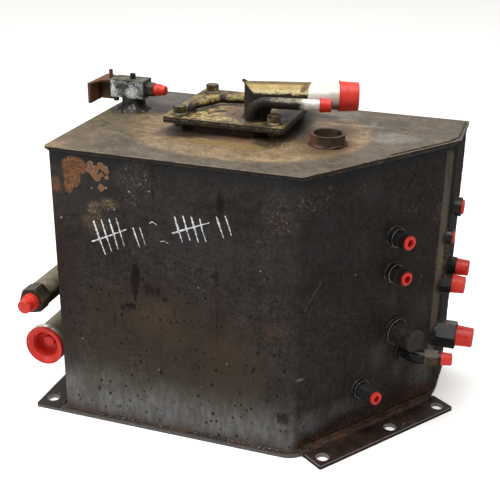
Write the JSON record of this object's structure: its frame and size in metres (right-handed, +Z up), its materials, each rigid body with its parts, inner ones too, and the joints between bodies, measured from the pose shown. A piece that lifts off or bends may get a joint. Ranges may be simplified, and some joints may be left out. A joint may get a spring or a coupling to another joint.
{
  "type": "hydraulic reservoir",
  "caption": "Five-sided welded steel hydraulic tank with bolted access cover, return and suction tubes, breather valve, side ports, pull-off caps and mounting feet.",
  "frame": {"origin": "middle of the tank wall footprint, on the underside of the base plate", "axes": "+X along the long front wall towards the side ports, +Y to the back panel, +Z up"},
  "size_m": [0.6498, 0.3603, 0.4974],
  "materials": {
    "tank_paint": "worn satin near-black paint, oily and dusty",
    "lid_paint": "worn paint, brown stains and rust",
    "foot_rust": "dark rusty brown",
    "cover_paint": "worn gold and cream paint over zinc",
    "fastener_steel": "oily yellow zinc",
    "gasket": "black",
    "zinc_tube": "dull zinc plate",
    "block_aluminium": "corroded white bloom",
    "small_steel": "dirty steel",
    "black_fitting": "black painted steel, slight gloss",
    "red_plastic": "bright red soft plastic, slight sheen"
  },
  "bodies": {
    "tank": {"shell_wrap": "tank_paint", "back_panel": "tank_paint", "base_plate": "tank_paint", "baffle_plate": "tank_paint", "return_drop_pipe": "tank_paint", "lid_plate": "lid_paint", "filler_neck": "lid_paint", "left_foot": "foot_rust", "right_foot": "foot_rust", "bracket": "foot_rust", "bracket_screw": "foot_rust", "valve_neck": "foot_rust", "cover_neck": "cover_paint", "cover_flange": "cover_paint", "cover_plate": "cover_paint", "return_elbow": "cover_paint", "bypass_tube": "cover_paint", "cross_tube": "cover_paint", "cover_bolts": "fastener_steel", "cover_weld_nuts": "fastener_steel", "cover_gasket": "gasket", "suction_elbow": "zinc_tube", "suction_ferrule": "zinc_tube", "supply_elbow": "zinc_tube", "supply_adapter": "zinc_tube", "elbow_nut": "zinc_tube", "suction_pickup": "zinc_tube", "suction_strainer": "zinc_tube", "return_diffuser": "zinc_tube", "valve_block": "block_aluminium", "valve_seat": "small_steel", "valve_spring": "small_steel", "valve_top_plug": "small_steel", "valve_bottom_plug": "small_steel", "valve_adapter": "small_steel", "weld_bosses": "black_fitting", "port_adapters": "black_fitting", "blanking_cap": "black_fitting", "drain_nipple": "black_fitting", "elbow_body": "black_fitting", "side_adapters": "black_fitting", "side_adapter_large": "black_fitting"},
    "valve_poppet": {"valve_poppet": "small_steel"},
    "cap_return": {"cap_return": "red_plastic"},
    "cap_bypass": {"cap_bypass": "red_plastic"},
    "cap_valve": {"cap_valve": "red_plastic"},
    "cap_supply": {"cap_supply": "red_plastic"},
    "plug_suction": {"plug_suction": "red_plastic"},
    "plug_upper_port": {"plug_upper_port": "red_plastic"},
    "plug_middle_port": {"plug_middle_port": "red_plastic"},
    "plug_drain": {"plug_drain": "red_plastic"},
    "cap_elbow": {"cap_elbow": "red_plastic"},
    "plug_rear_top": {"plug_rear_top": "red_plastic"},
    "plug_front_top": {"plug_front_top": "red_plastic"},
    "cap_rear_mid": {"cap_rear_mid": "red_plastic"},
    "cap_front_mid": {"cap_front_mid": "red_plastic"},
    "cap_front_low": {"cap_front_low": "red_plastic"}
  },
  "joints": [
    {"name": "poppet_lift", "type": "slide", "parent": "tank", "child": "valve_poppet", "axis": [0, 0, 1], "range_m": [0, 0.003], "stiffness_N_per_m": 400, "springref_m": -0.004, "deforming": ["valve_spring"]},
    {"name": "cap_return_pull", "type": "slide", "parent": "tank", "child": "cap_return", "axis": [0.9598, 0.2807, 0], "range_m": [0, 0.032]},
    {"name": "cap_bypass_pull", "type": "slide", "parent": "tank", "child": "cap_bypass", "axis": [0.9829, 0.184, 0], "range_m": [0, 0.022]},
    {"name": "cap_valve_pull", "type": "slide", "parent": "tank", "child": "cap_valve", "axis": [1, 0, 0], "range_m": [0, 0.022]},
    {"name": "cap_supply_pull", "type": "slide", "parent": "tank", "child": "cap_supply", "axis": [0, -1, 0], "range_m": [0, 0.026]},
    {"name": "plug_suction_pull", "type": "slide", "parent": "tank", "child": "plug_suction", "axis": [0, -1, 0], "range_m": [0, 0.022]},
    {"name": "plug_upper_port_pull", "type": "slide", "parent": "tank", "child": "plug_upper_port", "axis": [0.8131, -0.5821, 0], "range_m": [0, 0.014]},
    {"name": "plug_middle_port_pull", "type": "slide", "parent": "tank", "child": "plug_middle_port", "axis": [0.8131, -0.5821, 0], "range_m": [0, 0.014]},
    {"name": "plug_drain_pull", "type": "slide", "parent": "tank", "child": "plug_drain", "axis": [0.8131, -0.5821, 0], "range_m": [0, 0.014]},
    {"name": "cap_elbow_pull", "type": "slide", "parent": "tank", "child": "cap_elbow", "axis": [0.9854, 0.1702, 0], "range_m": [0, 0.022]},
    {"name": "plug_rear_top_pull", "type": "slide", "parent": "tank", "child": "plug_rear_top", "axis": [1, 0, 0], "range_m": [0, 0.012]},
    {"name": "plug_front_top_pull", "type": "slide", "parent": "tank", "child": "plug_front_top", "axis": [1, 0, 0], "range_m": [0, 0.012]},
    {"name": "cap_rear_mid_pull", "type": "slide", "parent": "tank", "child": "cap_rear_mid", "axis": [1, 0, 0], "range_m": [0, 0.022]},
    {"name": "cap_front_mid_pull", "type": "slide", "parent": "tank", "child": "cap_front_mid", "axis": [1, 0, 0], "range_m": [0, 0.022]},
    {"name": "cap_front_low_pull", "type": "slide", "parent": "tank", "child": "cap_front_low", "axis": [1, 0, 0], "range_m": [0, 0.028]}
  ]
}
